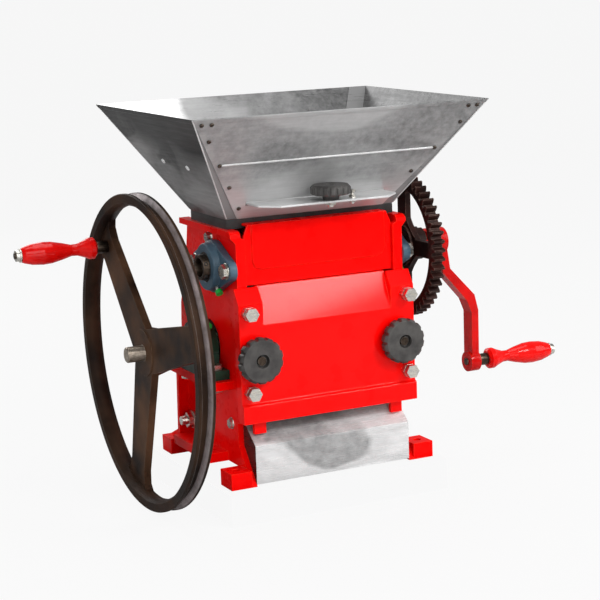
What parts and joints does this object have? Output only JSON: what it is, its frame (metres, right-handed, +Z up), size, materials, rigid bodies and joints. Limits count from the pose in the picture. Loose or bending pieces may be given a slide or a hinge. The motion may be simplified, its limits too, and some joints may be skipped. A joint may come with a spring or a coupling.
{
  "type": "coffee pulper",
  "caption": "Hand and belt driven drum coffee pulper: cast frame, steel hopper with sliding gate, belt-grooved flywheel, geared feed roller with hand crank and an adjustable breast plate.",
  "frame": {"origin": "on the floor, at the centre of the four foot bolt holes, straight below the drum shaft", "axes": "+X along both shafts towards the gears, -Y towards the front cover, +Z up"},
  "size_m": [0.887, 0.5, 0.626],
  "materials": {
    "red_enamel": "gloss enamel over casting and sheet",
    "polished_sheet": "polished stainless sheet",
    "cast_iron": "dark paint, worn bright on edges",
    "bearing_paint": "satin blue-grey",
    "bright_steel": "turned",
    "zinc": "zinc plated",
    "black_plastic": "moulded satin",
    "red_lacquer": "gloss red lacquer",
    "green_plastic": "moulded",
    "drum_sheet": "embossed sheet",
    "grey_iron": "cast"
  },
  "bodies": {
    "frame": {"side_frame_left": "red_enamel", "side_frame_right": "red_enamel", "front_panel": "red_enamel", "back_cover": "red_enamel", "throat_plate": "polished_sheet", "hopper_front": "polished_sheet", "hopper_rear": "polished_sheet", "hopper_left": "polished_sheet", "hopper_right": "polished_sheet", "hopper_collar": "polished_sheet", "gate_runner_left": "polished_sheet", "gate_runner_right": "polished_sheet", "breast_cover": "red_enamel", "discharge_chute": "polished_sheet", "chute_bolts": "zinc", "tie_rod": "zinc", "tie_nuts": "zinc", "hopper_bolts": "zinc", "cover_bolts": "zinc", "cover_nuts": "zinc", "lower_bearing_left": "bearing_paint", "lower_bearing_right": "bearing_paint", "lower_bearing_bolts": "zinc", "upper_bearing_left": "bearing_paint", "upper_bearing_right": "bearing_paint", "upper_bearing_bolts": "zinc", "grease_nipples": "zinc", "grease_caps": "green_plastic"},
    "drum": {"drum_shaft": "bright_steel", "drum_sleeve": "drum_sheet", "drum_disc_left": "grey_iron", "drum_disc_right": "grey_iron", "lower_ring_left": "bright_steel", "lower_ring_right": "bright_steel", "flywheel": "cast_iron", "flywheel_pin": "bright_steel", "flywheel_pin_nut": "zinc", "pinion": "cast_iron"},
    "feed": {"feed_shaft": "bright_steel", "feed_roller": "grey_iron", "drive_gear": "cast_iron", "upper_ring_left": "bright_steel", "upper_ring_right": "bright_steel", "crank_arm": "red_enamel", "crank_pin": "bright_steel", "crank_pin_nut": "zinc"},
    "wheel_grip": {"flywheel_grip": "red_lacquer"},
    "crank_grip": {"crank_grip": "red_lacquer"},
    "breast": {"breast_plate": "cast_iron"},
    "knob_left": {"hand_knob_left": "black_plastic", "adjusting_screw_left": "bright_steel"},
    "knob_right": {"hand_knob_right": "black_plastic", "adjusting_screw_right": "bright_steel"},
    "gate": {"gate_plate": "polished_sheet", "gate_stop_bolt": "zinc", "gate_knob_stud": "bright_steel"},
    "gate_knob": {"gate_knob": "black_plastic"}
  },
  "joints": [
    {"name": "drum_spin", "type": "hinge", "parent": "frame", "child": "drum", "pos_m": [0, 0, 0.202], "axis": [1, 0, 0], "continuous": true},
    {"name": "feed_spin", "type": "hinge", "parent": "frame", "child": "feed", "pos_m": [0, -0.04802, 0.33537], "axis": [1, 0, 0], "continuous": true},
    {"name": "wheel_grip_spin", "type": "hinge", "parent": "drum", "child": "wheel_grip", "pos_m": [-0.34, 0.14449, 0.35162], "axis": [1, 0, 0], "continuous": true},
    {"name": "crank_grip_spin", "type": "hinge", "parent": "feed", "child": "crank_grip", "pos_m": [0.4, -0.04802, 0.12337], "axis": [1, 0, 0], "continuous": true},
    {"name": "breast_slide", "type": "slide", "parent": "frame", "child": "breast", "axis": [0, 1, 0], "range_m": [-0.003, 0.003]},
    {"name": "knob_left_turn", "type": "hinge", "parent": "breast", "child": "knob_left", "pos_m": [-0.124, -0.142, 0.2], "axis": [0, 1, 0], "range_deg": [-541, 541]},
    {"name": "knob_right_turn", "type": "hinge", "parent": "breast", "child": "knob_right", "pos_m": [0.124, -0.142, 0.2], "axis": [0, 1, 0], "range_deg": [-541, 541]},
    {"name": "gate_slide", "type": "slide", "parent": "frame", "child": "gate", "axis": [0, -1, 0], "range_m": [0, 0.15]},
    {"name": "gate_knob_turn", "type": "hinge", "parent": "gate", "child": "gate_knob", "pos_m": [0, -0.157, 0.437], "axis": [0, 0, 1], "range_deg": [0, 360]}
  ],
  "couplings": [
    {"joint": "feed_spin", "follows": "drum_spin", "ratio": -0.26},
    {"joint": "knob_left_turn", "follows": "breast_slide", "rad_per_m": 3141.6},
    {"joint": "knob_right_turn", "follows": "breast_slide", "rad_per_m": 3141.6}
  ]
}
